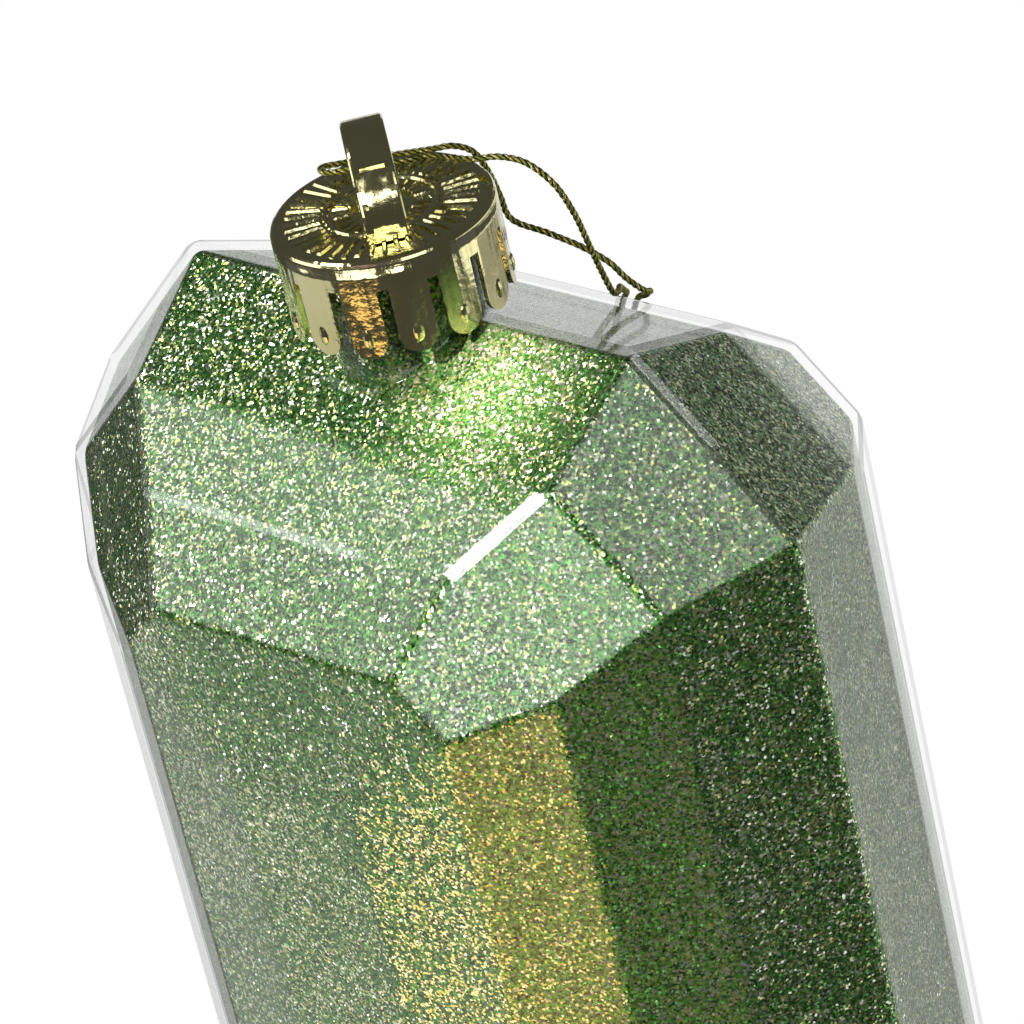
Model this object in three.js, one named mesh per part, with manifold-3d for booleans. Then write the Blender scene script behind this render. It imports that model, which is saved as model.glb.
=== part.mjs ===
// Gem ornament: a clear step-cut body lined with glitter, hung from a plated cap by a twisted cord.
// Millimetres, +Z up, -Y is the deep stepped front. The origin is where a hook bears under the
// crown of the hanger loop. Inside this file the gem is drawn from the ridge at the top of its
// girdle, and the whole ornament is lowered to the hook at the end.

import * as THREE from 'three';
import { mergeVertices } from 'three/addons/utils/BufferGeometryUtils.js';
import Module from 'manifold-3d';

const wasm = await Module();
wasm.setup();

// Gem body.
const GEM_WIDTH = 150;
const GEM_HEIGHT = 210;
const GIRDLE_CUT = 28.2;
const GEM_WALL = 1.6;

// Steps of the cut from the girdle out to a table, each one octagon parallel to the girdle. depth is
// how far it stands out from the octagon before it, side and end are how far it stands in from that
// one, and cut is the length of its 45 degree corner along Z.
const FRONT_FIRST = { depth: 21.6, side: 11, end: 12.8, cut: 19.2 };
const FRONT_SECOND = { depth: 13.6, side: 13, end: 11.2, cut: 18.2 };
const FRONT_THIRD = { depth: 10.6, side: 16, end: 14.8, cut: 9 };
const FRONT_TABLE = { depth: 4.3, side: 21.5, end: 26, cut: 1 };
const BACK_FIRST = { depth: 32.3, side: 15.9, end: 15.9, cut: 21.6 };
const BACK_TABLE = { depth: 16.3, side: 13.4, end: 13.4, cut: 10.8 };

// Glitter coat on the inside of the wall.
const GLITTER_COAT = 0.5;
const COAT_GAP = 0.3;

// Neck that the cap closes.
const NECK_RADIUS = 14.6;
const NECK_WALL = 1.8;
const NECK_CHAMFER = 0.5;

// Cap: a disc with a rounded rim, a skirt cut into tines, and a plug ring that goes into the neck.
const CAP_RADIUS = 18;
const CAP_TOP = 15.5;
const DISC_THICKNESS = 1.2;
const RIM_ROUNDING = 1.2;
const SKIRT_HEIGHT = 16.7;
const SKIRT_WALL = 0.9;
const PLUG_DEPTH = 9;
const PLUG_WALL = 0.9;
const PLUG_LEAD_IN = 1.2;
const CAP_SEGMENTS = 84;

// Tines of the skirt, each with a raised bead near its rounded tip.
const TINE_COUNT = 14;
const SLOT_WIDTH = 1.9;
const SLOT_TOP = 5;
const TINE_TURN = 180 / TINE_COUNT;
const TINE_TIP_FLAT = 8;
const BEAD_HEIGHT = 4.2;
const BEAD_WIDTH = 2.0;
const BEAD_RISE = 0.45;
const BEAD_LIFT = 3.4;

// Sunburst on the disc: long ribs outside a ring, short ribs inside it.
const EMBOSS_RISE = 0.4;
const EMBOSS_ROOT = 0.4;
const RING_RADIUS = 9;
const RING_WIDTH = 1;
const LONG_RIBS = { count: 44, inner: 9.9, outer: 15.7, width: 0.9 };
const SHORT_RIBS = { count: 30, inner: 5.3, outer: 8.0, width: 0.7 };

// Hanger loop: half a ring of flat band on two short legs, snapped into two slots of the disc.
const LOOP_TURN = -42;
const LOOP_HALF_SPAN = 12.4;
const LOOP_LEG = 2.1;
const LOOP_THICKNESS = 3.4;
const LOOP_BAND = 6.9;
const LOOP_ROUNDING = 0.6;
const CHANNEL_WIDTH = 3.9;
const CHANNEL_DEPTH = 0.9;
const CHANNEL_FOOT = 1.2;
const CHANNEL_END_ANGLE = 48;
const SEAT_GAP = 0.3;
const SNAP_LEG = 1.1;
const SNAP_WIDTH = 4;
const SNAP_CLEARANCE = 0.2;
const BARB_REACH = 0.8;
const BARB_LENGTH = 2;

// Twisted metallic cord, knotted into a loop.
const CORD_DIAMETER = 1.1;
const CORD_SIDES = 8;
const CORD_STEPS = 80;
const KNOT_DIAMETER = 4.2;
const KNOT_HEIGHT = 4.6;
const KNOT_TAIL = 7;
const KNOT_TAIL_SPREAD = 12;

// The cord's route from the knot up one strand, round the far leg of the loop and down the other.
// x, y, z from the ridge of the girdle.
const CORD_ROUTE = [
  [-5.8, 51.2, -58], [-5.9, 50.6, -50], [-5.9, 50.2, -42], [-5.2, 50, -35.5],
  [-3.6, 49.95, -31], [-1.8, 49.5, -28.5], [0.8, 47, -26.2], [5, 42.5, -22.5],
  [9.6, 37.6, -18.4], [13.9, 33, -14.7], [16.9, 29.7, -12.9], [19.2, 26.1, -10.6],
  [19.3, 24.6, -6], [19.7, 22.9, -0.5], [19.5, 21.2, 6.8], [18.1, 19.6, 12.6],
  [14.5, 18.3, 16.2], [10.5, 16.8, 17.3], [6.7, 14.6, 17.3], [0, 12.9, 17.5],
  [-2.9, 8.6, 18.2], [-5.7, 5.2, 18.8], [-9.2, 1.7, 19], [-11.4, 0.7, 18.9],
  [-13.6, 1.5, 18.5], [-14.6, 3.6, 17.8], [-13.8, 5.9, 17.2], [-10, 9.7, 16.95],
  [-6.3, 12.6, 16.9], [-2.6, 15.2, 16.95], [0.1, 17.4, 16.9], [1.6, 19.8, 15],
  [2, 21.8, 10.5], [2.3, 22.9, 5.4], [3.2, 23.2, 1.2], [8, 25.9, -2],
  [12.8, 27.8, -4.6], [16.6, 29.2, -7.4], [18.1, 30.8, -11], [19, 33.2, -14.4],
  [17.4, 36, -16.4], [14.2, 38.8, -18.8], [10, 42.5, -22.2], [6.2, 45.6, -25],
  [2.9, 48.1, -27.2], [0.2, 49.7, -29.4], [-1.6, 50, -32.4], [-2.8, 50, -36.5],
  [-3.6, 50.2, -42], [-4.1, 50.6, -50], [-4.2, 51.2, -58],
];

const radians = THREE.MathUtils.degToRad;

// A closed three.js geometry as a solid that can be joined and cut.
function solidOf(geometry) {
  const bare = geometry.clone();
  bare.deleteAttribute('normal');
  bare.deleteAttribute('uv');
  const merged = mergeVertices(bare, 1e-4);
  return new wasm.Manifold(new wasm.Mesh({
    numProp: 3,
    vertProperties: new Float32Array(merged.attributes.position.array),
    triVerts: new Uint32Array(merged.index.array),
  }));
}

// A solid back as a three.js geometry with flat facets.
function geometryOf(solid) {
  const mesh = solid.getMesh();
  const geometry = new THREE.BufferGeometry();
  geometry.setAttribute('position', new THREE.BufferAttribute(mesh.vertProperties, 3));
  geometry.setIndex(new THREE.BufferAttribute(mesh.triVerts, 1));
  const faceted = geometry.toNonIndexed();
  faceted.computeVertexNormals();
  return faceted;
}

const joined = (solids) => solids.reduce((whole, piece) => whole.add(piece));

// A profile of [radius, height] pairs turned about Z, counterclockwise seen with Z up.
function revolved(profile, segments = CAP_SEGMENTS) {
  const points = profile.map(([radius, height]) => new THREE.Vector2(radius, height));
  return solidOf(new THREE.LatheGeometry(points, segments).rotateX(Math.PI / 2));
}

function upright(radius, bottom, top, segments = CAP_SEGMENTS) {
  return revolved([[0, bottom], [radius, bottom], [radius, top], [0, top]], segments);
}

// A box given by its lowest and highest corners.
function block(low, high) {
  const size = high.map((value, i) => value - low[i]);
  const middle = high.map((value, i) => (value + low[i]) / 2);
  return solidOf(new THREE.BoxGeometry(...size).translate(...middle));
}

// An outline in X and Z extruded along Y, centred on Y = 0.
function slab(shape, width, bevel = 0) {
  const geometry = new THREE.ExtrudeGeometry(shape, {
    depth: width - 2 * bevel,
    bevelEnabled: bevel > 0,
    bevelThickness: bevel,
    bevelSize: bevel,
    bevelOffset: -bevel,
    bevelSegments: 3,
    curveSegments: 20,
  });
  return solidOf(geometry.translate(0, 0, bevel - width / 2).rotateX(Math.PI / 2));
}

// The octagons of a run of steps, each measured from the girdle.
function stepped(steps) {
  const reach = { depth: 0, side: 0, end: 0 };
  return steps.map(({ depth, side, end, cut }) => {
    reach.depth += depth;
    reach.side += side;
    reach.end += end;
    return { ...reach, cut };
  });
}

// The octagons of the cut from the front table to the back table.
function gemRings() {
  const girdle = { depth: 0, side: 0, end: 0, cut: GIRDLE_CUT };
  const front = stepped([FRONT_FIRST, FRONT_SECOND, FRONT_THIRD, FRONT_TABLE]);
  const back = stepped([BACK_FIRST, BACK_TABLE]);
  return [...front.map((step) => ({ ...step, depth: -step.depth })).reverse(), girdle, ...back];
}

// The same octagons moved in by a wall: each vertex of the mean profile slides to where its two
// moved-in facets meet, and a 45 degree corner loses 2 - sqrt(2) of its ring's own move.
function insetRings(rings, wall) {
  const profile = rings.map((ring) => new THREE.Vector2(ring.depth, (ring.side + ring.end) / 2));
  const tableReach = new THREE.Vector2(0, 10);
  const ends = [profile[0].clone().add(tableReach), profile[profile.length - 1].clone().add(tableReach)];
  const line = [ends[0], ...profile, ends[1]];
  return rings.map((ring, i) => {
    const before = line[i + 1].clone().sub(line[i]).normalize();
    const after = line[i + 2].clone().sub(line[i + 1]).normalize();
    const inward = new THREE.Vector2(-before.y - after.y, before.x + after.x).normalize();
    const reach = wall / inward.dot(new THREE.Vector2(-before.y, before.x));
    const move = inward.multiplyScalar(reach);
    return {
      depth: ring.depth + move.x,
      side: ring.side + move.y,
      end: ring.end + move.y,
      cut: Math.max(ring.cut - (2 - Math.SQRT2) * move.y, 0.4),
    };
  });
}

// The corners of one octagon, clockwise seen from the front, the top ridge of the girdle at Z = 0.
function octagon({ depth, side, end, cut }) {
  const x = GEM_WIDTH / 2 - side;
  const top = -end;
  const bottom = end - GEM_HEIGHT;
  return [
    [cut - x, depth, top], [x - cut, depth, top], [x, depth, top - cut], [x, depth, bottom + cut],
    [x - cut, depth, bottom], [cut - x, depth, bottom], [-x, depth, bottom + cut], [-x, depth, top - cut],
  ];
}

// The faceted body through a run of octagons, closed by a flat table at each end.
function gemBody(rings) {
  const corners = rings.map(octagon);
  const sides = corners[0].length;
  const at = (ring, corner) => ring * sides + (corner % sides);
  const faces = [];
  for (let ring = 0; ring + 1 < corners.length; ring++) {
    for (let i = 0; i < sides; i++) {
      faces.push(at(ring, i), at(ring, i + 1), at(ring + 1, i + 1));
      faces.push(at(ring, i), at(ring + 1, i + 1), at(ring + 1, i));
    }
  }
  const last = corners.length - 1;
  for (let i = 1; i + 1 < sides; i++) {
    faces.push(at(0, 0), at(0, i + 1), at(0, i));
    faces.push(at(last, 0), at(last, i), at(last, i + 1));
  }
  const geometry = new THREE.BufferGeometry();
  geometry.setAttribute('position', new THREE.Float32BufferAttribute(corners.flat(2), 3));
  geometry.setIndex(faces);
  return solidOf(geometry);
}

// Clear body, blown in one piece with its neck and open at the neck's mouth.
const NECK_TOP = CAP_TOP - DISC_THICKNESS - SEAT_GAP;
const BORE_RADIUS = NECK_RADIUS - NECK_WALL;
// Deep enough to end inside the hollow all round, because no top facet is steeper than 45 degrees.
const NECK_ROOT = -NECK_RADIUS;

function gemShell() {
  const neck = revolved([
    [0, NECK_ROOT], [NECK_RADIUS, NECK_ROOT], [NECK_RADIUS, NECK_TOP - NECK_CHAMFER],
    [NECK_RADIUS - NECK_CHAMFER, NECK_TOP], [0, NECK_TOP],
  ]);
  const hollow = gemBody(insetRings(gemRings(), GEM_WALL));
  const bore = upright(BORE_RADIUS, NECK_ROOT - 1, NECK_TOP + 1);
  return gemBody(gemRings()).add(neck).subtract(hollow).subtract(bore);
}

// Glitter coat, a thin skin just inside the wall and up the bore of the neck.
const COAT_RADIUS = BORE_RADIUS - COAT_GAP;
const COAT_BORE = COAT_RADIUS - GLITTER_COAT;

function glitterLining() {
  const coatTop = NECK_TOP - NECK_CHAMFER;
  const skin = (depth, radius, bottom, top) =>
    gemBody(insetRings(gemRings(), depth)).add(upright(radius, bottom, top));
  const outside = skin(GEM_WALL + COAT_GAP, COAT_RADIUS, NECK_ROOT, coatTop);
  const inside = skin(GEM_WALL + COAT_GAP + GLITTER_COAT, COAT_BORE, NECK_ROOT - 1, coatTop + 1);
  return outside.subtract(inside);
}

// Cap, drawn with the disc's top face at Z = 0.
const PLUG_RADIUS = COAT_BORE - COAT_GAP;
const PLUG_BORE = PLUG_RADIUS - PLUG_WALL;
const SLOT_PITCH = (2 * Math.PI * CAP_RADIUS) / TINE_COUNT;
const TIP_RADIUS = (SLOT_PITCH - SLOT_WIDTH) / 2;

function capBlank() {
  const rim = new THREE.EllipseCurve(
    CAP_RADIUS - RIM_ROUNDING, -RIM_ROUNDING, RIM_ROUNDING, RIM_ROUNDING, 0, Math.PI / 2,
  ).getPoints(4).map((point) => [point.x, point.y]);
  const skirtBore = CAP_RADIUS - SKIRT_WALL;
  return revolved([
    [0, -DISC_THICKNESS], [PLUG_BORE, -DISC_THICKNESS], [PLUG_BORE, -PLUG_DEPTH],
    [PLUG_RADIUS - PLUG_WALL / 2, -PLUG_DEPTH], [PLUG_RADIUS, PLUG_LEAD_IN - PLUG_DEPTH],
    [PLUG_RADIUS, -DISC_THICKNESS], [skirtBore, -DISC_THICKNESS], [skirtBore, -SKIRT_HEIGHT],
    [CAP_RADIUS, -SKIRT_HEIGHT], ...rim, [0, 0],
  ]);
}

// One gap between two tines, with the rounded halves of both tips, as a cutter along X.
function tineGap() {
  const half = SLOT_WIDTH / 2;
  const spring = TIP_RADIUS - SKIRT_HEIGHT;
  const flat = radians(TINE_TIP_FLAT);
  const shape = new THREE.Shape();
  shape.moveTo(-half, -SLOT_TOP);
  shape.lineTo(-half, spring);
  shape.absarc(-half - TIP_RADIUS, spring, TIP_RADIUS, 0, flat - Math.PI / 2, true);
  const foot = half + TIP_RADIUS * (1 - Math.sin(flat));
  shape.lineTo(-foot, -SKIRT_HEIGHT - 1);
  shape.lineTo(foot, -SKIRT_HEIGHT - 1);
  shape.absarc(half + TIP_RADIUS, spring, TIP_RADIUS, 1.5 * Math.PI - flat, Math.PI, true);
  shape.lineTo(half, -SLOT_TOP);
  shape.closePath();
  const depth = 4 * SKIRT_WALL;
  const geometry = new THREE.ExtrudeGeometry(shape, { depth, bevelEnabled: false, curveSegments: 8 });
  geometry.rotateX(Math.PI / 2).rotateZ(Math.PI / 2);
  return solidOf(geometry.translate(CAP_RADIUS - depth / 2, 0, 0));
}

function tineBead() {
  const bead = new THREE.SphereGeometry(1, 10, 8);
  bead.scale(BEAD_RISE + SKIRT_WALL / 2, BEAD_WIDTH / 2, BEAD_HEIGHT / 2);
  return solidOf(bead.translate(CAP_RADIUS - SKIRT_WALL / 2, 0, BEAD_LIFT - SKIRT_HEIGHT));
}

// A rib of the sunburst: a bar along X with sloping flanks and ends.
function rib({ inner, outer, width }) {
  const base = [[inner, -width / 2], [outer, -width / 2], [outer, width / 2], [inner, width / 2]];
  const middle = (inner + outer) / 2;
  const slope = width / 4;
  const crest = base.map(([x, y]) => [x - Math.sign(x - middle) * slope, y / 2]);
  const level = (outline, z) => outline.map(([x, y]) => [x, y, z]);
  const corners = [...level(base, -EMBOSS_ROOT), ...level(base, 0), ...level(crest, EMBOSS_RISE)];
  const faces = [0, 2, 1, 0, 3, 2, 8, 9, 10, 8, 10, 11];
  for (const ring of [0, 4]) {
    for (let i = 0; i < 4; i++) {
      const next = (i + 1) % 4;
      faces.push(ring + i, ring + next, ring + next + 4, ring + i, ring + next + 4, ring + i + 4);
    }
  }
  const geometry = new THREE.BufferGeometry();
  geometry.setAttribute('position', new THREE.Float32BufferAttribute(corners.flat(), 3));
  geometry.setIndex(faces);
  return solidOf(geometry);
}

// Copies of a solid spread evenly round Z.
function around(solid, count, turn = 0) {
  return Array.from({ length: count }, (_, i) => solid.rotate([0, 0, turn + (360 / count) * i]));
}

function sunburst() {
  const half = RING_WIDTH / 2;
  const ring = revolved([
    [RING_RADIUS - half, -EMBOSS_ROOT], [RING_RADIUS + half, -EMBOSS_ROOT], [RING_RADIUS + half, 0],
    [RING_RADIUS + half / 2, EMBOSS_RISE], [RING_RADIUS - half / 2, EMBOSS_RISE], [RING_RADIUS - half, 0],
    [RING_RADIUS - half, -EMBOSS_ROOT],
  ]);
  const halfRib = 180 / LONG_RIBS.count;
  const ribs = [
    ...around(rib(LONG_RIBS), LONG_RIBS.count, LOOP_TURN + halfRib),
    ...around(rib(SHORT_RIBS), SHORT_RIBS.count, LOOP_TURN),
  ];
  const footIn = LOOP_HALF_SPAN - LOOP_THICKNESS - SEAT_GAP;
  const footOut = LOOP_HALF_SPAN + SEAT_GAP;
  const footSide = LOOP_BAND / 2 + SEAT_GAP;
  const foot = block([footIn, -footSide, -1], [footOut, footSide, 1]);
  return joined([ring, ...ribs]).subtract(joined(around(foot, 2, LOOP_TURN)));
}

// The two slots of the disc that the snap legs of the loop go through.
const SNAP_IN = LOOP_HALF_SPAN - LOOP_THICKNESS + SNAP_CLEARANCE;
const SNAP_OUT = SNAP_IN + SNAP_LEG;

function snapSlots() {
  const side = SNAP_WIDTH / 2 + SNAP_CLEARANCE;
  const slot = block(
    [SNAP_IN - SNAP_CLEARANCE, -side, -DISC_THICKNESS - 1], [SNAP_OUT + SNAP_CLEARANCE, side, 1],
  );
  return joined(around(slot, 2, LOOP_TURN));
}

function capCover() {
  const gaps = joined(around(tineGap(), TINE_COUNT));
  const beads = around(tineBead(), TINE_COUNT, TINE_TURN);
  return joined([capBlank().subtract(gaps), ...beads, sunburst()]).subtract(snapSlots());
}

// An arch outline in X and Z: half a circle on two straight legs.
function arch(radius, centre, foot) {
  const shape = new THREE.Shape();
  shape.moveTo(-radius, foot);
  shape.lineTo(-radius, centre);
  shape.absarc(0, centre, radius, Math.PI, 0, true);
  shape.lineTo(radius, foot);
  return shape;
}

// Hanger loop, drawn like the cap with the disc's top face at Z = 0.
const LOOP_RISE = LOOP_LEG + LOOP_HALF_SPAN;

function loopBand() {
  const inner = LOOP_HALF_SPAN - LOOP_THICKNESS;
  const shape = arch(LOOP_HALF_SPAN, LOOP_LEG, SEAT_GAP);
  shape.lineTo(inner, SEAT_GAP);
  shape.lineTo(inner, LOOP_LEG);
  shape.absarc(0, LOOP_LEG, inner, 0, Math.PI, false);
  shape.lineTo(-inner, SEAT_GAP);
  shape.closePath();
  return slab(shape, LOOP_BAND, LOOP_ROUNDING);
}

// The recess down the outer face of one leg, between the two rails of the band.
function loopChannel() {
  const floor = LOOP_HALF_SPAN - CHANNEL_DEPTH;
  const clear = LOOP_HALF_SPAN + 1;
  const end = radians(CHANNEL_END_ANGLE);
  const shape = new THREE.Shape();
  shape.moveTo(floor, CHANNEL_FOOT);
  shape.lineTo(clear, CHANNEL_FOOT);
  shape.absarc(0, LOOP_LEG, clear, 0, end, false);
  shape.absarc(0, LOOP_LEG, floor, end, 0, true);
  shape.closePath();
  return slab(shape, CHANNEL_WIDTH);
}

// A springy leg that drops through the disc, with a barb that catches under it.
function snapLeg() {
  const catchLevel = -DISC_THICKNESS - SEAT_GAP;
  const shape = new THREE.Shape();
  shape.moveTo(SNAP_OUT, SEAT_GAP + LOOP_ROUNDING);
  shape.lineTo(SNAP_IN, SEAT_GAP + LOOP_ROUNDING);
  shape.lineTo(SNAP_IN, catchLevel);
  shape.lineTo(SNAP_IN - BARB_REACH, catchLevel);
  shape.lineTo(SNAP_IN, catchLevel - BARB_LENGTH);
  shape.lineTo(SNAP_OUT, catchLevel - BARB_LENGTH);
  shape.closePath();
  return slab(shape, SNAP_WIDTH);
}

function hangerLoop() {
  const channels = joined(around(loopChannel(), 2));
  return joined([loopBand().subtract(channels), ...around(snapLeg(), 2)]).rotate([0, 0, LOOP_TURN]);
}

// Cord, one tube of its real length along the route.
function hangingCord() {
  const route = new THREE.CatmullRomCurve3(CORD_ROUTE.map((point) => new THREE.Vector3(...point)));
  const section = new THREE.Shape();
  for (let i = 0; i < CORD_SIDES; i++) {
    const angle = (2 * Math.PI * i) / CORD_SIDES;
    const corner = [(CORD_DIAMETER / 2) * Math.cos(angle), (CORD_DIAMETER / 2) * Math.sin(angle)];
    if (i === 0) section.moveTo(...corner);
    else section.lineTo(...corner);
  }
  section.closePath();
  console.log(`cord length ${route.getLength().toFixed(1)} mm`);
  return solidOf(new THREE.ExtrudeGeometry(section, {
    steps: CORD_STEPS, extrudePath: route, bevelEnabled: false,
  }));
}

// Overhand knot that joins the two strands, with the two cut tails below it.
function cordKnot() {
  const [first, last] = [CORD_ROUTE[0], CORD_ROUTE[CORD_ROUTE.length - 1]];
  const half = KNOT_HEIGHT / 2;
  const ball = new THREE.SphereGeometry(1, 16, 12).rotateX(Math.PI / 2);
  const knot = solidOf(ball.scale(KNOT_DIAMETER / 2, KNOT_DIAMETER / 2, half));
  const tail = upright(CORD_DIAMETER / 2, -half - KNOT_TAIL, 0, CORD_SIDES);
  const tails = [-KNOT_TAIL_SPREAD, KNOT_TAIL_SPREAD].map((angle) => tail.rotate([0, angle, 0]));
  const middle = [(first[0] + last[0]) / 2, first[1], first[2] - SEAT_GAP - half];
  return joined([knot, ...tails]).translate(middle);
}

// Finishes read from the photograph.
const finish = {
  clearPlastic: new THREE.MeshStandardMaterial({
    color: 0xf2f5f4, roughness: 0.04, metalness: 0, transparent: true, opacity: 0.25,
  }),
  greenGlitter: new THREE.MeshStandardMaterial({ color: 0x5f8a4e, roughness: 0.35, metalness: 0.6 }),
  goldPlate: new THREE.MeshStandardMaterial({ color: 0xb9a45a, roughness: 0.12, metalness: 1 }),
  goldCord: new THREE.MeshStandardMaterial({ color: 0x8d8a3a, roughness: 0.4, metalness: 0.7 }),
};

function piece(name, solid, material, height = 0) {
  const mesh = new THREE.Mesh(geometryOf(solid), material);
  mesh.name = name;
  mesh.position.z = height;
  return mesh;
}

const gem = new THREE.Group();
gem.add(
  piece('gem_shell', gemShell(), finish.clearPlastic),
  piece('glitter_lining', glitterLining(), finish.greenGlitter),
);

const cap = new THREE.Group();
cap.add(
  piece('cap_cover', capCover(), finish.goldPlate, CAP_TOP),
  piece('hanger_loop', hangerLoop(), finish.goldPlate, CAP_TOP),
  piece('hanging_cord', hangingCord(), finish.goldCord),
  piece('cord_knot', cordKnot(), finish.goldCord),
);

const HOOK_HEIGHT = CAP_TOP + LOOP_RISE - LOOP_THICKNESS;
const ornament = new THREE.Group();
ornament.add(gem, cap);
ornament.position.z = -HOOK_HEIGHT;

export default ornament;
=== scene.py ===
# %% [markdown]
# # Gem ornament
#
# A large hanging decoration: a clear blown body in the shape of an emerald cut, coated inside with
# glitter, closed by a gold-plated cap with an arched loop, and hung on a twisted metallic cord.
# Lengths are in metres in the part's own frame. The origin is where a hook bears under the crown of
# the loop, +Z is up and -Y is the deep stepped front of the cut.

# %% Setup
import math

import bmesh
import bpy
import numpy as np
from mathutils import Matrix, Vector


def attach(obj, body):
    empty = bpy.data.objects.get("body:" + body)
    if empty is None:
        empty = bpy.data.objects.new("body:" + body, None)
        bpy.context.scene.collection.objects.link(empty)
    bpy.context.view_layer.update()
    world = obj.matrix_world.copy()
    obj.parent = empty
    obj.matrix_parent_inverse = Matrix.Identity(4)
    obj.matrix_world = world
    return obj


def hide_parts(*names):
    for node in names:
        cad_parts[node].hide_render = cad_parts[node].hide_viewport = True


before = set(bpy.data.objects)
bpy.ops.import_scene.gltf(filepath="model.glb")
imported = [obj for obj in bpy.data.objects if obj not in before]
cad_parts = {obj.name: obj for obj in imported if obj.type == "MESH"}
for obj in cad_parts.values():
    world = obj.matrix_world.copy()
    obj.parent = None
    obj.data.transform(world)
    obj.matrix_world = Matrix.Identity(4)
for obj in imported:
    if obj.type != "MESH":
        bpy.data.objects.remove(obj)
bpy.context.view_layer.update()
MM = 0.001
print("pieces in the frame:", ", ".join(sorted(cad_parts)))

# %% [markdown]
# ## Camera
#
# The camera was worked out from the cut itself: the corners of the girdle and of the steps, the
# ellipse of the cap and the foot of the loop fix one long lens that looks down on the front from the
# right, turned a little about its own axis. A camera looks along its own -Z, so its matrix is made of
# the directions to its right, up, and backwards from what it sees.

# %% Camera
GIRDLE_TOP = Vector((0, 0, -26.6)) * MM
CAMERA_AZIMUTH = math.radians(47.525)
CAMERA_ELEVATION = math.radians(30.6)
CAMERA_ROLL = math.radians(-13.458)
CAMERA_DISTANCE = 879.67 * MM
CAMERA_ASIDE = 17.139 * MM
CAMERA_LIFT = -34.436 * MM
SENSOR = 36.0
FOCAL_PIXELS = 5623.956
PICTURE_PIXELS = 1024

backward = Vector((
    math.sin(CAMERA_AZIMUTH) * math.cos(CAMERA_ELEVATION),
    -math.cos(CAMERA_AZIMUTH) * math.cos(CAMERA_ELEVATION),
    math.sin(CAMERA_ELEVATION),
))
level = Vector((0, 0, 1)).cross(backward).normalized()
rise = backward.cross(level)
right = level * math.cos(CAMERA_ROLL) + rise * math.sin(CAMERA_ROLL)
up = rise * math.cos(CAMERA_ROLL) - level * math.sin(CAMERA_ROLL)


def object_of(name, data):
    """Puts a mesh, a light or a camera into the scene."""
    made = bpy.data.objects.new(name, data)
    bpy.context.scene.collection.objects.link(made)
    return made


camera = object_of("camera", bpy.data.cameras.new("camera"))
camera.data.sensor_width = SENSOR
camera.data.lens = FOCAL_PIXELS / PICTURE_PIXELS * SENSOR
camera.data.clip_start = 0.05
camera.data.clip_end = 20
place = GIRDLE_TOP + backward * CAMERA_DISTANCE + right * CAMERA_ASIDE + up * CAMERA_LIFT
camera.matrix_world = Matrix.Translation(place) @ Matrix((right, up, backward)).transposed().to_4x4()
bpy.context.scene.camera = camera
print("camera at", [round(v, 3) for v in place], "lens", round(camera.data.lens, 1), "mm")

# %% [markdown]
# ## Shader arithmetic
#
# The finishes are sums and products of textures. They could be wired by hand in the shader editor,
# but a small class lets them be written as ordinary arithmetic: each field is one output socket, and
# `node` adds any other kind of node. Colours go through a Mix node, because Math makes them grey.

# %% Shader arithmetic
class Field:
    """One output socket of a node tree."""

    def __init__(self, tree, socket):
        self.tree = tree
        self.socket = socket

    def node(self, kind, inputs, output=0, **settings):
        """Adds a node, makes its settings, then fills its inputs with numbers or fields."""
        made = self.tree.nodes.new(kind)
        for key, value in settings.items():
            setattr(made, key, value)
        for key, value in inputs.items():
            if isinstance(value, Field):
                self.tree.links.new(value.socket, made.inputs[key])
            else:
                made.inputs[key].default_value = value
        return Field(self.tree, made.outputs[output])

    def calc(self, operation, first, second):
        return self.node("ShaderNodeMath", {0: first, 1: second}, operation=operation)

    def __add__(self, other):
        return self.calc("ADD", self, other)

    def __sub__(self, other):
        return self.calc("SUBTRACT", self, other)

    def __rsub__(self, other):
        return self.calc("SUBTRACT", other, self)

    def __mul__(self, other):
        return self.calc("MULTIPLY", self, other)

    def __pow__(self, other):
        return self.calc("POWER", self, other)

    __radd__ = __add__
    __rmul__ = __mul__

    def over(self, level, width):
        """0 well below level and 1 well above it, rising smoothly across width."""
        inputs = {"Value": self, "From Min": level - width / 2, "From Max": level + width / 2}
        return self.node("ShaderNodeMapRange", inputs, interpolation_type="SMOOTHSTEP")

    def span(self, low, high):
        """A field that runs from 0 to 1, stretched to run from low to high."""
        return self * (high - low) + low

    def noise(self, scale, detail=2.0):
        """Soft noise, where self is the place and scale is in waves to the metre."""
        return self.node("ShaderNodeTexNoise", {"Vector": self, "Scale": scale, "Detail": detail})

    def cells(self, scale):
        """A random colour for each of the cells that space is divided into."""
        return self.node("ShaderNodeTexVoronoi", {"Vector": self, "Scale": scale}, "Color")

    def channel(self, index):
        return self.node("ShaderNodeSeparateColor", {"Color": self}, index)

    def axis(self, index):
        return self.node("ShaderNodeSeparateXYZ", {"Vector": self}, index)


def blend(fac, first, second):
    """The colour first where fac is 0 and second where it is 1."""
    colours = [value if isinstance(value, Field) else (*value, 1.0) for value in (first, second)]
    return fac.node("ShaderNodeMix", {0: fac, 6: colours[0], 7: colours[1]}, 2, data_type="RGBA")


def bump(height, strength, distance):
    return height.node("ShaderNodeBump", {"Height": height, "Strength": strength, "Distance": distance})


def new_material(name, **constants):
    """A principled material. Constants are set on the shader's own sockets, by socket name."""
    material = bpy.data.materials.new(name)
    material.use_nodes = True
    shader = material.node_tree.nodes["Principled BSDF"]
    for key, value in constants.items():
        shader.inputs[key.replace("_", " ")].default_value = value
    coordinates = material.node_tree.nodes.new("ShaderNodeTexCoord")
    return material, shader, Field(material.node_tree, coordinates.outputs["Object"])


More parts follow.
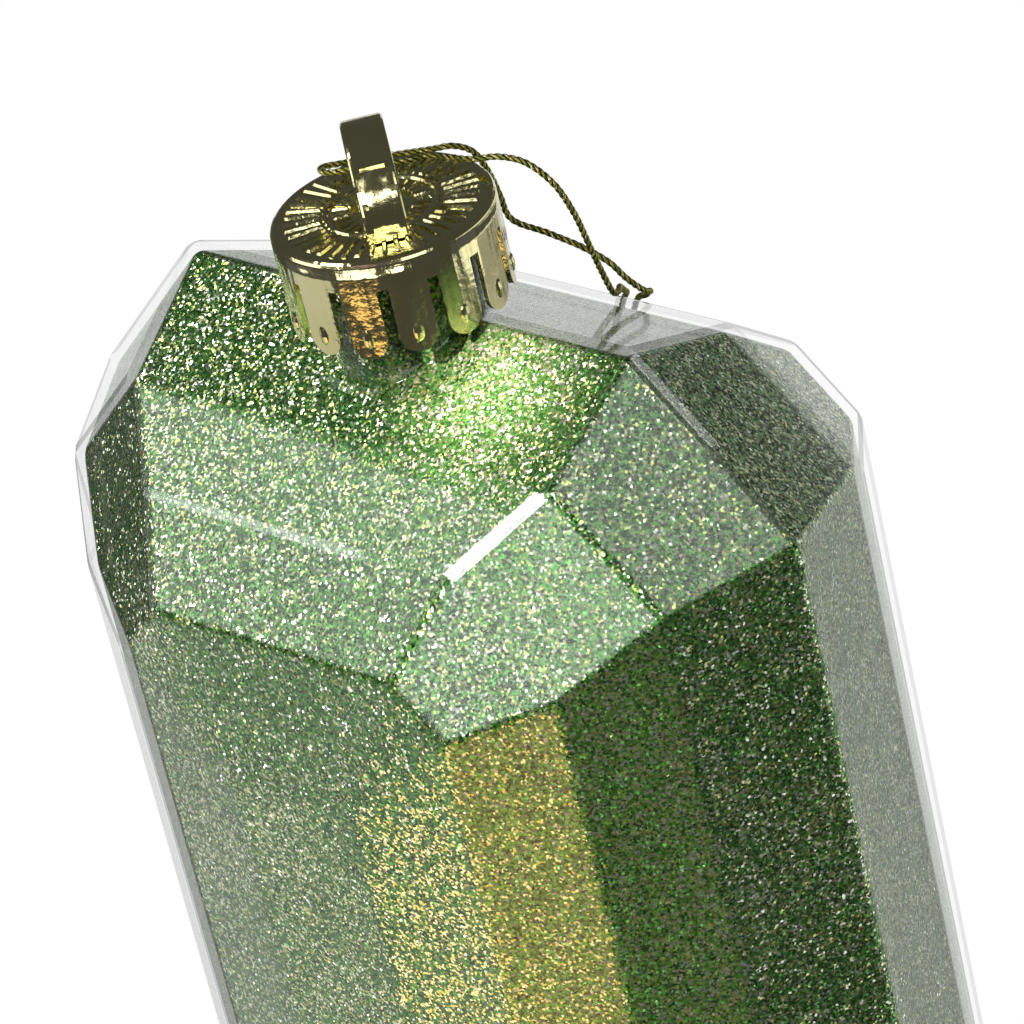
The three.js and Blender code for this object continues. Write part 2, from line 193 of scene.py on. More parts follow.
def feed(shader, **fields):
    """Links fields to a shader's sockets, by socket name."""
    for key, field in fields.items():
        field.tree.links.new(field.socket, shader.inputs[key.replace("_", " ")])


def on_mesh(where, name):
    """A field that reads one of the mesh's own attributes."""
    return where.node("ShaderNodeAttribute", {}, "Fac", attribute_name=name)


# %% [markdown]
# ## Cord
#
# The real cord is a loop of thin metallic yarn: up from the knot behind the gem, across the disc of
# the cap, round the far leg of the loop and down again. A curve with a round bevel would give its
# path but not its twist, so the tube is worked out as an array: its section is three round plies,
# and the section turns along the route. The route is the one that the frame holds, point for point.

# %% Route of the cord
CORD_DIAMETER = 1.1 * MM
ROUTE_STEP = 0.3 * MM
CORD_ROUTE = [
    (-5.8, 51.2, -84.6), (-5.9, 50.6, -76.6), (-5.9, 50.2, -68.6), (-5.2, 50, -62.1),
    (-3.6, 49.95, -57.6), (-1.8, 49.5, -55.1), (0.8, 47, -52.8), (5, 42.5, -49.1),
    (9.6, 37.6, -45), (13.9, 33, -41.3), (16.9, 29.7, -39.5), (19.2, 26.1, -37.2),
    (19.3, 24.6, -32.6), (19.7, 22.9, -27.1), (19.5, 21.2, -19.8), (18.1, 19.6, -14),
    (14.5, 18.3, -10.4), (10.5, 16.8, -9.3), (6.7, 14.6, -9.3), (0, 12.9, -9.1),
    (-2.9, 8.6, -8.4), (-5.7, 5.2, -7.8), (-9.2, 1.7, -7.6), (-11.4, 0.7, -7.7),
    (-13.6, 1.5, -8.1), (-14.6, 3.6, -8.8), (-13.8, 5.9, -9.4), (-10, 9.7, -9.65),
    (-6.3, 12.6, -9.7), (-2.6, 15.2, -9.65), (0.1, 17.4, -9.7), (1.6, 19.8, -11.6),
    (2, 21.8, -16.1), (2.3, 22.9, -21.2), (3.2, 23.2, -25.4), (8, 25.9, -28.6),
    (12.8, 27.8, -31.2), (16.6, 29.2, -34), (18.1, 30.8, -37.6), (19, 33.2, -41),
    (17.4, 36, -43), (14.2, 38.8, -45.4), (10, 42.5, -48.8), (6.2, 45.6, -51.6),
    (2.9, 48.1, -53.8), (0.2, 49.7, -56), (-1.6, 50, -59), (-2.8, 50, -63.1),
    (-3.6, 50.2, -68.6), (-4.1, 50.6, -76.6), (-4.2, 51.2, -84.6),
]


def arc_of(path):
    """Length of the path up to each of its points."""
    return np.concatenate([[0], np.cumsum(np.linalg.norm(np.diff(path, axis=0), axis=1))])


def smooth_route(points, step):
    """Points a step apart on the centripetal Catmull-Rom spline through the given points.

    Between two points the knots are spaced by the square root of the distance, and the curve is the
    cubic with the spline's tangents at both ends.
    """
    knots = np.array(points, float)
    padded = np.vstack([2 * knots[0] - knots[1], knots, 2 * knots[-1] - knots[-2]])
    gaps = np.sqrt(np.linalg.norm(np.diff(padded, axis=0), axis=1))[:, None]
    before, here, after = gaps[:-2], gaps[1:-1], gaps[2:]
    p0, p1, p2, p3 = padded[:-3], padded[1:-2], padded[2:-1], padded[3:]
    t1 = here * ((p1 - p0) / before - (p2 - p0) / (before + here) + (p2 - p1) / here)
    t2 = here * ((p2 - p1) / here - (p3 - p1) / (here + after) + (p3 - p2) / after)
    s = np.linspace(0, 1, 40, endpoint=False)[None, :, None]
    p1, p2, t1, t2 = (v[:, None, :] for v in (p1, p2, t1, t2))
    cubic = (
        (2 * s**3 - 3 * s**2 + 1) * p1 + (s**3 - 2 * s**2 + s) * t1
        + (3 * s**2 - 2 * s**3) * p2 + (s**3 - s**2) * t2
    )
    fine = np.vstack([cubic.reshape(-1, 3), knots[-1:]])
    arc = arc_of(fine)
    even = np.linspace(0, arc[-1], round(arc[-1] / step) + 1)
    return np.stack([np.interp(even, arc, fine[:, i]) for i in range(3)], axis=1), even


cord_path, cord_arc = smooth_route([[v * MM for v in point] for point in CORD_ROUTE], ROUTE_STEP)
print("cord length", round(cord_arc[-1] * 1000, 1), "mm in", len(cord_path), "steps")

# %% [markdown]
# A tube needs two directions across the path at each of its points. Any pair that is turned anew at
# each point would twist the plies unevenly, so one direction is carried along the path and only
# stripped of the part that points forwards. The plies' own turn is then added evenly by length.

# %% Twisted tube
CORD_LAY = 3.6 * MM
CORD_PLIES = 3
PLY_OFFSET = 0.42
FIRST_SIDE = [0.3, 0.9, 0.2]


def banded_mesh(name, rings):
    """A closed mesh through a stack of rings, given as an array of rings by points by 3."""
    rows, around = rings.shape[:2]
    index = np.arange(rows * around).reshape(rows, around)
    beside = np.roll(index, -1, axis=1)
    quads = np.stack([index[:-1], beside[:-1], beside[1:], index[1:]], axis=-1).reshape(-1, 4)
    faces = quads.tolist() + [index[0, ::-1].tolist(), index[-1].tolist()]
    mesh = bpy.data.meshes.new(name)
    mesh.from_pydata(rings.reshape(-1, 3).tolist(), [], faces)
    return mesh


def add_attribute(mesh, name, domain, values):
    attribute = mesh.attributes.new(name, "FLOAT", domain)
    attribute.data.foreach_set("value", values.astype(np.float32))


def turning_frames(path):
    """Two unit normals at each point of a path, carried along it with as little twist as can be."""
    tangent = np.gradient(path, axis=0)
    tangent /= np.linalg.norm(tangent, axis=1)[:, None]
    side = np.cross(tangent[0], FIRST_SIDE)
    sides = []
    for direction in tangent:
        side = side - direction * (side @ direction)
        side /= np.linalg.norm(side)
        sides.append(side)
    sides = np.array(sides)
    return sides, np.cross(tangent, sides)


def twisted_cord(name, path, arc, diameter, around):
    """A cord of round plies laid round each other, as one closed tube.

    At angle a from a ply's crown the section's radius is that of a circle of radius r whose centre
    is a distance c from the axis: c cos a + sqrt(r^2 - c^2 sin^2 a), with c + r half the diameter.
    The section turns once in each lay, and arc is the length up to each point of the path.
    """
    centre = diameter / 2 * PLY_OFFSET
    ply = diameter / 2 - centre
    share = 2 * np.pi / CORD_PLIES
    angle = np.arange(around) * 2 * np.pi / around
    crown = (angle + share / 2) % share - share / 2
    across = np.minimum((centre * np.sin(crown)) ** 2, ply**2)
    radius = centre * np.cos(crown) + np.sqrt(ply**2 - across)
    sides, others = turning_frames(path)
    turn = angle[None, :] + 2 * np.pi * arc[:, None] / CORD_LAY
    rings = (
        path[:, None, :]
        + radius[None, :, None] * np.cos(turn)[..., None] * sides[:, None, :]
        + radius[None, :, None] * np.sin(turn)[..., None] * others[:, None, :]
    )
    mesh = banded_mesh(name, rings)
    strand = np.round(angle / share) % CORD_PLIES / CORD_PLIES
    add_attribute(mesh, "crest", "POINT", np.tile(radius / radius.max(), len(path)))
    add_attribute(mesh, "strand", "POINT", np.tile(strand, len(path)))
    mesh.shade_smooth()
    return mesh


# %% [markdown]
# The yarn is metallic foil wound on thread. Its gold shows on the crowns of the plies and one ply goes
# olive. The grooves between the plies get a painted shade that is nearly black. So the finish reads two
# attributes of the tube: how near a point is to a crown, and which ply it is on. Bright specks of foil
# are cells of a Voronoi texture.

# %% Cord
CORD_AROUND = 24
# Painted shade: the nearly black colour that is given to the grooves between the plies.
GROOVE_SHADE = (0.035, 0.04, 0.008)
OLIVE_YARN = (0.32, 0.36, 0.08)
GOLD_YARN = ((0.3, 0.28, 0.05), (0.9, 0.8, 0.22))
FOIL_SPECK = (1, 0.95, 0.55)


def place_mesh(name, mesh, material, body, replaced=()):
    """Puts a mesh on its body with its finish, and hides the plain nodes that it stands for."""
    made = object_of(name, mesh)
    mesh.materials.clear()
    mesh.materials.append(material)
    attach(made, body)
    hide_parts(*replaced)
    print(name, len(mesh.vertices), "vertices")
    return made


def cord_finish():
    material, shader, where = new_material("gold_cord", Metallic=0.85)
    filament = where.noise(5200.0)
    foil = where.cells(2600.0).channel(0)
    yarn = blend(foil.over(0.8, 0.06), blend(foil, *GOLD_YARN), FOIL_SPECK)
    plies = blend(on_mesh(where, "strand").over(0.5, 0.1), yarn, OLIVE_YARN)
    # Painted shade: away from the crowns of the plies, down in the grooves, the colour goes nearly
    # black.
    shaded = blend(on_mesh(where, "crest").over(0.84, 0.2), GROOVE_SHADE, plies)
    feed(shader, Base_Color=shaded, Roughness=filament.span(0.22, 0.5))
    feed(shader, Normal=bump(filament, 0.5, 0.1 * MM))
    return material


cord_material = cord_finish()
cord_mesh = twisted_cord("cord", cord_path, cord_arc, CORD_DIAMETER, CORD_AROUND)
cord = place_mesh("cord", cord_mesh, cord_material, "cap", ["hanging_cord"])

# %% [markdown]
# ## Knot
#
# The two strands are tied together in an overhand knot with the cut tails left below it. A tight
# overhand knot is nearly a trefoil, so instead of tying it by simulation the knob is one turn of a
# trefoil of the same cord, and the tails are two short straight lengths.

# %% Knot
KNOT_SIZE = 0.52 * MM
KNOT_DROP = 2.6 * MM
KNOT_POINTS = 90
KNOT_AROUND = 18
TAIL_LENGTH = 9 * MM
TAIL_POINTS = 30
TAIL_SPREAD = math.radians(12)
knot_middle = (cord_path[0] + cord_path[-1]) / 2 - [0, 0, KNOT_DROP]


def trefoil(size):
    """A trefoil: x = sin t + 2 sin 2t, y = -1.4 sin 3t, z = cos t - 2 cos 2t, all times size."""
    t = np.linspace(0, 2 * np.pi, KNOT_POINTS)
    x = np.sin(t) + 2 * np.sin(2 * t)
    y = -1.4 * np.sin(3 * t)
    z = np.cos(t) - 2 * np.cos(2 * t)
    return size * np.stack([x, y, z], axis=1)


def tail(turn):
    """A straight line from the middle of the knot down and aside by the angle turn."""
    along = np.linspace(0, TAIL_LENGTH, TAIL_POINTS)[:, None]
    return knot_middle + along * [math.sin(turn), 0, -math.cos(turn)]


def knot_mesh():
    joined = bmesh.new()
    for path in (trefoil(KNOT_SIZE) + knot_middle, tail(-TAIL_SPREAD), tail(TAIL_SPREAD)):
        joined.from_mesh(twisted_cord("strand", path, arc_of(path), CORD_DIAMETER, KNOT_AROUND))
    mesh = bpy.data.meshes.new("knot")
    joined.to_mesh(mesh)
    joined.free()
    mesh.shade_smooth()
    return mesh


knot = place_mesh("knot", knot_mesh(), cord_material, "cap", ["cord_knot"])

# %% [markdown]
# ## Step-cut body
#
# The clear body is blown in a steel mould. Its cut is a stack of octagons parallel to the girdle:
# four steps down to a narrow table at the front, and two down to a wide one at the back. Scaling one
# octagon would not do, because each step falls by another angle, so each octagon has its own row of
# sizes. The wall is a second stack moved in by the wall's thickness and cut out of the first.

# %% Cut of the gem
GEM_WIDTH = 150 * MM
GEM_HEIGHT = 210 * MM
LEAST_CUT = 0.4 * MM
# Each octagon's place in Y, then how far its sides, its ends and its corners are cut back, in mm.
STEPS = [
    (-50.1, 61.5, 64.8, 1.0), (-45.8, 40.0, 38.8, 9.0), (-35.2, 24.0, 24.0, 18.2),
    (-21.6, 11.0, 12.8, 19.2), (0.0, 0.0, 0.0, 28.2), (32.3, 15.9, 15.9, 21.6),
    (48.6, 29.3, 29.3, 10.8),
]


def octagons(depth_in):
    """Corners of each octagon of the cut, moved in by depth_in, as an array of rings by 8 by 3.

    The mean profile of the cut is a polyline in depth and inset. A vertex between unit normals m and
    n moves along m + n by depth_in / (m . (m + n) / |m + n|), so that both facets move by depth_in.
    """
    steps = np.array(STEPS) * MM
    profile = np.stack([steps[:, 0], steps[:, 1:3].mean(axis=1)], axis=1)
    inwards = np.array([0, 10.0])
    line = np.vstack([profile[0] + inwards, profile, profile[-1] + inwards])
    along = np.diff(line, axis=0)
    along /= np.linalg.norm(along, axis=1)[:, None]
    normal = np.stack([-along[:, 1], along[:, 0]], axis=1)
    both = normal[:-1] + normal[1:]
    both /= np.linalg.norm(both, axis=1)[:, None]
    move = both * (depth_in / (both * normal[:-1]).sum(axis=1))[:, None]
    depth = steps[:, 0] + move[:, 0]
    x = GEM_WIDTH / 2 - steps[:, 1] - move[:, 1]
    top = -steps[:, 2] - move[:, 1]
    bottom = -GEM_HEIGHT - top
    cut = np.maximum(steps[:, 3] - (2 - math.sqrt(2)) * move[:, 1], LEAST_CUT)
    outline = [
        (cut - x, top), (x - cut, top), (x, top - cut), (x, bottom + cut),
        (x - cut, bottom), (cut - x, bottom), (-x, bottom + cut), (-x, top - cut),
    ]
    return np.stack([np.stack([a, depth, b], axis=1) for a, b in outline], axis=1)


def outward(mesh, edge_width=0.0, segments=1):
    """Turns a closed mesh's faces outwards and cuts or rounds its edges to a width."""
    solid = bmesh.new()
    solid.from_mesh(mesh)
    bmesh.ops.recalc_face_normals(solid, faces=solid.faces)
    if edge_width:
        bmesh.ops.bevel(
            solid, geom=list(solid.edges), offset=edge_width, offset_type="WIDTH",
            segments=segments, profile=0.5, affect="EDGES", clamp_overlap=True,
        )
    solid.to_mesh(mesh)
    solid.free()
    return mesh


def gem_mesh(depth_in, edge_width=0.0, segments=1):
    rings = octagons(depth_in) + np.array(GIRDLE_TOP)
    return outward(banded_mesh("cut", rings), edge_width, segments)


print("octagons in the stack, and corners of each:", octagons(0).shape[:2])

# %% [markdown]
# The neck is blown with the body and meets its sloping facets in a small fillet, which shows as a
# bright line under the tines of the cap. It is a profile turned about the vertical axis, except that
# the fillet follows the slope, so each of its rings stands at its own height above the facets.

# %% Neck
NECK_RADIUS = 14.6 * MM
NECK_WALL = 1.8 * MM
NECK_TOP = 14.0 * MM
NECK_FOOT = -16 * MM
NECK_FILLET = 1.8 * MM
NECK_CHAMFER = 0.4 * MM
NECK_POINTS = 96
FILLET_RINGS = 24
FILLET_SINK = 0.05 * MM
FILLET_SKIRT = -1.2 * MM
# The facets beside the girdle end at the octagons before and after it. Both fall away from y = 0.
FRONT_SLOPE = -STEPS[3][2] / STEPS[3][0]
BACK_SLOPE = -STEPS[5][2] / STEPS[5][0]


def turned_mesh(radii, heights, on_slope):
    """Rings (r cos a, r sin a, h) about the vertical axis, closed at both ends.

    The height h is measured from the girdle, or from the body's sloping facets where on_slope is 1.
    """
    angle = np.arange(NECK_POINTS) * 2 * np.pi / NECK_POINTS
    x = radii[:, None] * np.cos(angle)
    y = radii[:, None] * np.sin(angle)
    slope = np.where(y < 0, FRONT_SLOPE * y, BACK_SLOPE * y)
    rings = np.stack([x, y, heights[:, None] + on_slope[:, None] * slope], axis=-1)
    return outward(banded_mesh("turned", rings + np.array(GIRDLE_TOP)))


def neck_mesh():
    """The neck from its foot up: a skirt inside the wall, the fillet, and the rounded mouth.

    A ring of the fillet at angle t is wider than the neck by f (1 - sin t) and stands f (1 - cos t)
    over the facets, where f is the fillet's radius.
    """
    turn = np.linspace(0, math.pi / 2, FILLET_RINGS)
    wider, higher = NECK_FILLET * np.stack([1 - np.sin(turn), 1 - np.cos(turn)])
    mouth_in, mouth_up = NECK_CHAMFER * np.array([[0, -0.3, -1], [-1, -0.3, 0]])
    radii = NECK_RADIUS + np.concatenate([[0, NECK_FILLET], wider, mouth_in])
    heights = np.concatenate([[NECK_FOOT, FILLET_SKIRT], higher - FILLET_SINK, NECK_TOP + mouth_up])
    on_slope = np.concatenate([[0, 1], np.ones(FILLET_RINGS), np.zeros(3)])
    return turned_mesh(radii, heights, on_slope)


def upright(radius, bottom, top):
    """A plain round bar about the vertical axis, as a tool to cut with."""
    return turned_mesh(np.full(2, radius), np.array([bottom, top]), np.zeros(2))


print("neck", round(NECK_RADIUS * 2000, 1), "mm across, wall", round(NECK_WALL * 1000, 1), "mm")

# %% [markdown]
# Solids are joined and cut with Boolean modifiers, which are applied at once, so that the finished
# piece is one clean mesh. The mould leaves each edge a little blunt. That narrow flat catches the
# lamps as a bright line, so it is modelled, and marked for the finish.

# %% Clear body
GEM_WALL = 1.6 * MM
EDGE_WIDTH = 1.9 * MM
BORE = NECK_RADIUS - NECK_WALL
BORE_ENDS = (-20 * MM, 20 * MM)
SAME_FACET = 0.9998
SHARP_ANGLE = math.radians(4.5)


def combined(name, first, *others):
    """The first mesh joined with or cut by the others, each given as an operation and a mesh."""
    body = object_of(name, first)
    tools = []
    for operation, other in others:
        tools.append(object_of(name + "_tool", other))
        step = body.modifiers.new(operation, "BOOLEAN")
        step.operation = operation
        step.solver = "EXACT"
        step.object = tools[-1]
    evaluated = body.evaluated_get(bpy.context.evaluated_depsgraph_get())
    mesh = bpy.data.meshes.new_from_object(evaluated)
    mesh.name = name
    for made in [body, *tools]:
        bpy.data.objects.remove(made)
    mesh.shade_smooth()
    return mesh


def mark_edges(mesh):
    """Face attribute "edge": 1 on the narrow faces that cut the edges between facets, else 0.

    A face is on a facet when its normal is one of the cut's own, which are the cross products of the
    sides of each cell of the rings. Faces on the round neck are left at 0.
    """
    rings = octagons(0)
    aside = np.roll(rings, -1, axis=1)[:-1] - rings[:-1]
    facets = np.cross(aside, rings[1:] - rings[:-1]).reshape(-1, 3)
    facets = np.vstack([facets / np.linalg.norm(facets, axis=1)[:, None], [0, 1, 0]])
    normals = np.empty(len(mesh.polygons) * 3)
    centres = np.empty(len(mesh.polygons) * 3)
    mesh.polygons.foreach_get("normal", normals)
    mesh.polygons.foreach_get("center", centres)
    alike = np.abs(normals.reshape(-1, 3) @ facets.T).max(axis=1)
    off_axis = np.linalg.norm(centres.reshape(-1, 3)[:, :2], axis=1)
    on_edge = (alike < SAME_FACET) & (off_axis > NECK_RADIUS + NECK_FILLET)
    add_attribute(mesh, "edge", "FACE", on_edge)
    print("edge faces", int(on_edge.sum()), "of", len(on_edge))


body_mesh = combined(
    "clear_body", gem_mesh(0, EDGE_WIDTH), ("UNION", neck_mesh()),
    ("DIFFERENCE", gem_mesh(GEM_WALL, EDGE_WIDTH)), ("DIFFERENCE", upright(BORE, *BORE_ENDS)),
)
body_mesh.set_sharp_from_angle(angle=SHARP_ANGLE)
mark_edges(body_mesh)

# %% [markdown]
# Clear plastic both mirrors and lets through. Refraction through two thin walls costs a great deal of
# render time and hardly bends the picture, so the wall is a mirror that is mostly transparent: its
# alpha grows towards grazing angles, as Fresnel's law says. A faint ripple keeps the mirror images
# from being too perfect. Along a cut edge one looks through the whole width of the wall, which shows
# as a dark green line at the outline. That line is painted into the mirror's colour on the edge faces
# seen at grazing angles, in place of refraction.

# %% Clear finish
CLEAR = (0.93, 0.94, 0.95)
# Painted dark green line at the outline, in place of the view through the edge of the wall.
RIM = (0.13, 0.18, 0.13)
MIRRORED_FACE_ON = 0.024
MIRRORED_GRAZING = 0.48
RIM_GRAZING = 1.1


def clear_finish():
    material, shader, where = new_material("clear_plastic", Roughness=0.03, Metallic=1.0)
    ripple = bump(where.noise(16.0, 1.0), 0.3, 0.6 * MM)
    facing = where.node("ShaderNodeLayerWeight", {"Blend": 0.5, "Normal": ripple}, "Facing")
    # Painted dark line: the edge faces take the rim colour where they are seen at grazing angles.
    rim = on_mesh(where, "edge") * facing.over(0.62, 0.3)
    mirrored = facing ** 4.0 * rim.span(MIRRORED_GRAZING, RIM_GRAZING) + MIRRORED_FACE_ON
    feed(shader, Base_Color=blend(rim, CLEAR, RIM), Alpha=mirrored, Normal=ripple)
    return material


place_mesh("clear_body", body_mesh, clear_finish(), "gem", ["gem_shell"])

# %% [markdown]
# ## Glitter coat
#
# Glitter is poured in through the neck and sticks to the inside of the wall. It is a layer of flat
# metallic flakes about 0.4 mm across, mostly green, with gold ones and bright silver ones among
# them. Each flake lies a little askew, so each mirrors another part of the room: that is what
# makes glitter sparkle. A million flakes as meshes would be too heavy, so each cell of a Voronoi
# texture is one flake, with its own colour and its own tilt of the normal.

# %% Glitter
FLAKES_PER_METRE = 2600.0
GREEN_FLAKES = ((0.01, 0.06, 0.008), (0.15, 0.45, 0.08))
GOLD_FLAKES = ((0.42, 0.48, 0.12), (0.85, 0.88, 0.36))
SILVER_FLAKES = ((0.7, 0.85, 0.58), (1, 1, 0.9))
MOST_TILT = 1.4
LEAST_TILT = 0.35


def askew(flake):
    """The surface's normal with a random vector of the flake's own added, made a unit vector again."""
    tilt = (flake.channel(2) ** 3.0).span(LEAST_TILT, MOST_TILT)
    middle = {0: flake, 1: (0.5, 0.5, 0.5)}
    spread = flake.node("ShaderNodeVectorMath", middle, operation="SUBTRACT")
    scaled = flake.node("ShaderNodeVectorMath", {0: spread, "Scale": tilt}, operation="SCALE")
    normal = flake.node("ShaderNodeNewGeometry", {}, "Normal")
    tilted = flake.node("ShaderNodeVectorMath", {0: scaled, 1: normal}, operation="ADD")
    return flake.node("ShaderNodeVectorMath", {0: tilted}, operation="NORMALIZE")


def glitter_finish():
    """Flakes of three colours in drifts: which one a flake takes depends on its own number, pick."""
    constants = {"IOR": 1.5, "Coat_Weight": 0.3, "Coat_Roughness": 0.1}
    material, shader, where = new_material("green_glitter", **constants)
    flake = where.cells(FLAKES_PER_METRE)
    pick, shade = flake.channel(0), flake.channel(1)
    drift = where.noise(30.0, 3.0) - 0.5
    gold = (pick + drift * 0.4).over(0.68, 0.04)
    silver = (pick + drift * 0.3).over(0.82, 0.02)
    mixed = blend(gold, blend(shade, *GREEN_FLAKES), blend(shade, *GOLD_FLAKES))
    mixed = blend(silver, mixed, blend(shade, *SILVER_FLAKES))
    feed(shader, Base_Color=mixed, Normal=askew(flake))
    feed(shader, Roughness=shade.span(0.12, 0.35), Metallic=pick.span(0.6, 0.95))
    return material


# %% [markdown]
# The coat itself is a thin layer of real thickness under the wall, and it runs up into the neck. Its
# edges are rounded, because flakes bridge the corners. On a mesh with a few large faces and narrow
# rounded edges, weighted normals keep the facets flat and put all the bend in the edges.

# %% Glitter coat
COAT = 0.5 * MM
COAT_DEPTH = GEM_WALL + 0.1 * MM
COAT_EDGE_WIDTH = 1.3 * MM
COAT_EDGE_SEGMENTS = 4
COAT_RADIUS = BORE - 0.3 * MM
COAT_TOP = 13.4 * MM

coat_mesh = combined(
    "glitter_coat", gem_mesh(COAT_DEPTH, COAT_EDGE_WIDTH, COAT_EDGE_SEGMENTS),
    ("UNION", upright(COAT_RADIUS, BORE_ENDS[0], COAT_TOP)),
    ("DIFFERENCE", gem_mesh(COAT_DEPTH + COAT)),
    ("DIFFERENCE", upright(COAT_RADIUS - COAT, BORE_ENDS[0] - 2 * MM, BORE_ENDS[1])),
)
coat = place_mesh(
    "glitter_coat", coat_mesh, glitter_finish(), "gem", ["glitter_lining"],
)
flat_facets = coat.modifiers.new("facets stay flat", "WEIGHTED_NORMAL")
flat_facets.mode = "FACE_AREA"
flat_facets.weight = 100
flat_facets.keep_sharp = True

# %% [markdown]
# ## Cap and loop
#
# Both are moulded plastic with a vacuum-plated coat of pale gold. The plating is a mirror, so what it
# shows is the shape of the plastic below: thin walls are never quite flat. The skirt's tines have
# long upright waves, which are noise on coordinates that are wrapped round the axis and stretched
# along it, and the disc and the loop have a slight orange peel. The shapes are the frame's own.

# %% Plating
PALE_GOLD = ((0.6, 0.55, 0.24), (0.8, 0.76, 0.42))
WAVES_PER_RADIAN = 2.6
WAVES_UP_THE_SKIRT = 40.0
SKIRT_TOP = -13 * MM


def cap_waves(where):
    around = where.calc("ARCTAN2", where.axis(1), where.axis(0)) * WAVES_PER_RADIAN
    wrapped = {"X": around, "Y": where.axis(2) * WAVES_UP_THE_SKIRT}
    streaks = where.node("ShaderNodeCombineXYZ", wrapped).noise(1.0, 2.0)
    skirt = 1 - where.axis(2).over(SKIRT_TOP, 2 * MM)
    return streaks * skirt + where.noise(60.0, 2.0) * 0.2


def loop_waves(where):
    return where.noise(110.0, 2.0)


def plated_finish(name, waves, wave_height):
    """Pale gold plating over wavy plastic: waves(where) is the surface's height as a field."""
    material, shader, where = new_material(name, Metallic=1.0, Coat_Weight=0.4, Coat_Roughness=0.05)
    cloud = where.noise(90.0, 3.0)
    speck = where.noise(900.0, 2.0)
    feed(shader, Base_Color=blend(cloud, *PALE_GOLD))
    feed(shader, Roughness=(cloud * 0.5 + speck * 0.5).span(0.03, 0.22))
    feed(shader, Normal=bump(waves(where) + speck * 0.05, 1.0, wave_height))
    return material


PLATED = [
    ("cap_cover", "gold_cap", cap_waves, 1.3 * MM),
    ("hanger_loop", "gold_loop", loop_waves, 0.5 * MM),
]
for node_name, slot_name, waves, wave_height in PLATED:
    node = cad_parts[node_name]
    node.data.materials.clear()
    node.data.materials.append(plated_finish(slot_name, waves, wave_height))
    print(node_name, "plated, with waves", round(wave_height * 1000, 2), "mm high")

# %% [markdown]
# ## Lamps
#
# Glitter and plating show mostly what they mirror, so the soft lights are placed as cards round the
# ornament, each for one facet or one edge, and their strengths follow the brightness that each facet
# should have. A disc far from the object and broad in its spread gives an even light.

# %% Lamps
# Name, place, point it looks at, width, power in watts and colour.
WHITE = (1, 1, 1)
WARM = (1, 0.64, 0.3)
LAMPS = [
    ("key", (-0.93, -0.78, 0.6), (0, 0, -0.1), 0.9, 4.1, WHITE),
    ("high left", (-0.6, -0.42, 1.19), (0, 0, -0.05), 0.35, 2.2, WHITE),
    ("ridge", (-0.965, -0.78, 0.665), (0, 0, -0.05), 0.14, 0.2, WHITE),
    ("edge", (-0.258, -1.066, 0.846), (0.02, -0.02, -0.05), 0.12, 2.6, WHITE),
    ("front", (0.21, -1.22, 0.3), (0, 0, -0.1), 0.7, 3.4, WHITE),
    ("beside camera", (1.02, -0.86, 0.58), (0, 0, -0.05), 0.35, 1.5, WHITE),
    ("side", (0.9, -0.36, 0.9), (0, 0, -0.1), 0.6, 1.8, WHITE),
    ("right card", (0.95, 0.6, -0.7), (0, 0, -0.05), 0.7, 1.2, WHITE),
    ("girdle line", (0.71, 0.91, 0.81), (0, 0, -0.05), 0.08, 0.1, WHITE),
    ("low left", (-0.75, -0.58, -0.84), (0, 0, -0.1), 1.2, 2.2, WHITE),
    ("low warm", (0.034, -0.43, -0.57), (0, -0.045, -0.11), 0.58, 1.5, WARM),
]


def hang_lamp(name, light, place, target):
    """Puts a light in the scene. A lamp shines along its own -Z, so +Z points away from the target."""
    made = object_of(name, light)
    made.location = place
    made.rotation_mode = "QUATERNION"
    made.rotation_quaternion = (Vector(place) - Vector(target)).to_track_quat("Z", "Y")


for name, place, target, size, power, colour in LAMPS:
    card = bpy.data.lights.new(name, "AREA")
    card.shape = "DISK"
    card.size = size
    card.energy = power
    card.color = colour
    hang_lamp(name, card, place, target)
print(len(LAMPS), "soft lamps,", round(sum(lamp[4] for lamp in LAMPS), 1), "W together")

# %% [markdown]
# The plated skirt throws a patch of light on the facet in front of it. Cycles finds such a path from
# lamp to mirror to glitter only by luck, so a narrow soft spotlight draws the patch instead.

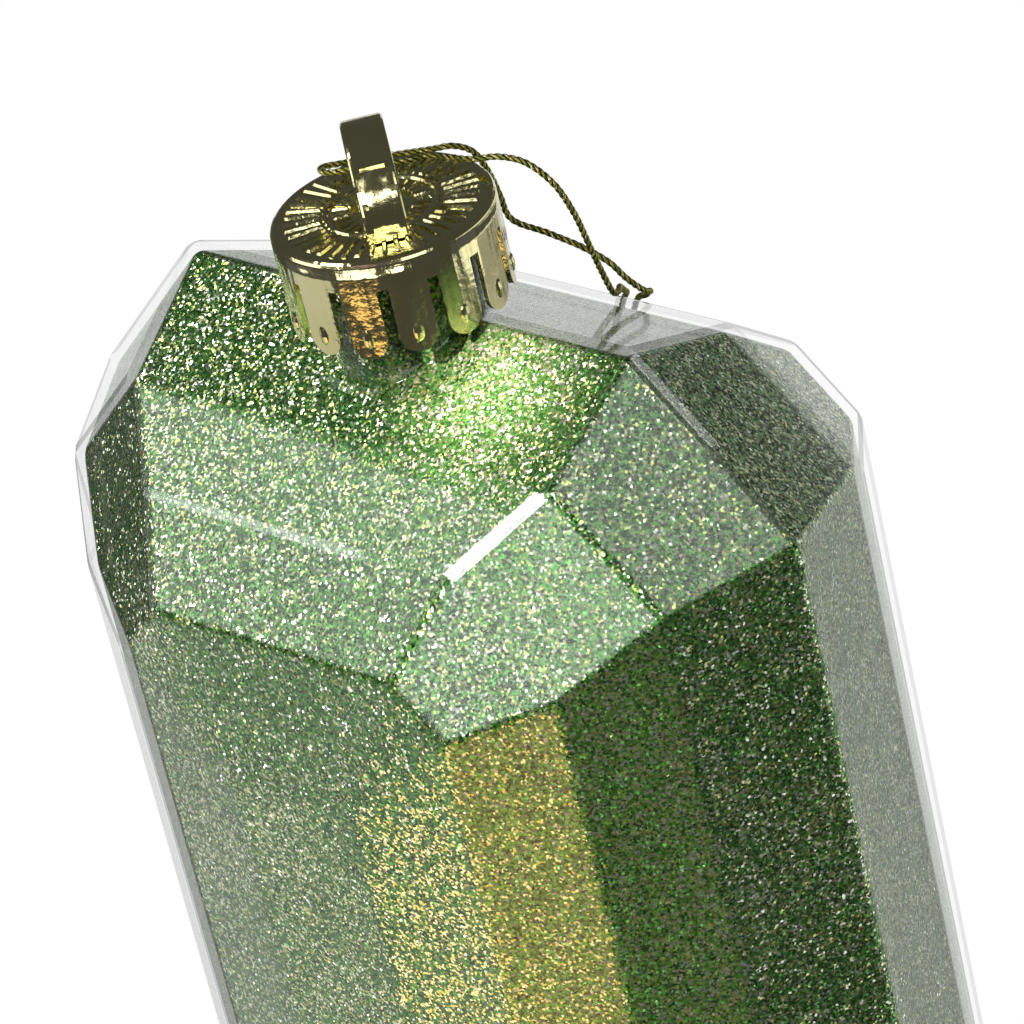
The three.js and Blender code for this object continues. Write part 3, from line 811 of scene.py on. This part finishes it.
# %% Glint from the cap
GLINT_PLACE = (0.1, -0.78, 0.84)
GLINT_TARGET = Vector((24.1, -10.4, -32.8)) * MM
glint = bpy.data.lights.new("glint from the cap", "SPOT")
glint.energy = 1250
glint.color = (1, 0.66, 0.86)
glint.spot_size = math.radians(1.15)
glint.spot_blend = 1.0
glint.shadow_soft_size = 0.012
hang_lamp("glint from the cap", glint, GLINT_PLACE, GLINT_TARGET)
print("glint aimed at", [round(v, 4) for v in GLINT_TARGET])

# %% [markdown]
# ## Floor
#
# The ornament hangs over a plain pale floor. One square face is enough for it. It lies a metre below
# the hook and is small, so that the main view shows only the white room behind the ornament.

# %% Floor
FLOOR_REACH = 0.6
FLOOR_LEVEL = -1.0
FLOOR_COLOUR = (0.9, 0.9, 0.9, 1)
floor_material = new_material("pale_floor", Roughness=0.9, Base_Color=FLOOR_COLOUR)[0]
floor_mesh = bpy.data.meshes.new("floor")
corners = FLOOR_REACH * np.array([(-1, -1, 0), (1, -1, 0), (1, 1, 0), (-1, 1, 0)]) + [0, 0, FLOOR_LEVEL]
floor_mesh.from_pydata(corners.tolist(), [], [(0, 1, 2, 3)])
floor_mesh.materials.append(floor_material)
object_of("floor", floor_mesh)
print("floor", FLOOR_REACH * 2, "m wide,", -FLOOR_LEVEL, "m below the hook")

# %% [markdown]
# ## Room
#
# The camera sees a white studio all round. What the clear wall and the plating mirror is dimmer: a
# bright screen low behind the ornament, which draws the pale outline of the wall, and a dark room
# elsewhere, which keeps the colours deep. Walls could be built for it, but a world whose colour
# depends on the direction does the same with nothing in the way of the lamps.

# %% Room
SCREEN = (0.9, 0.9, 0.9)
DIM = (0.075, 0.075, 0.075)
world = bpy.data.worlds.new("soft room")
world.use_nodes = True
coordinates = world.node_tree.nodes.new("ShaderNodeTexCoord")
direction = Field(world.node_tree, coordinates.outputs["Generated"])
x, y, z = direction.axis(0), direction.axis(1), direction.axis(2)
screen = y.over(0.4, 0.2) * (1 - z.over(-0.08, 0.1))
shaded = x.over(-0.35, 0.3) * (1 - z.over(-0.4, 0.2))
mirrored_room = blend(screen * (1 - shaded * 0.6), DIM, SCREEN)
seen_by_camera = direction.node("ShaderNodeLightPath", {}, "Is Camera Ray")
feed(world.node_tree.nodes["Background"], Color=blend(seen_by_camera, mirrored_room, WHITE))
bpy.context.scene.world = world
bpy.context.scene.view_settings.view_transform = "Standard"
print("room nodes", len(world.node_tree.nodes))
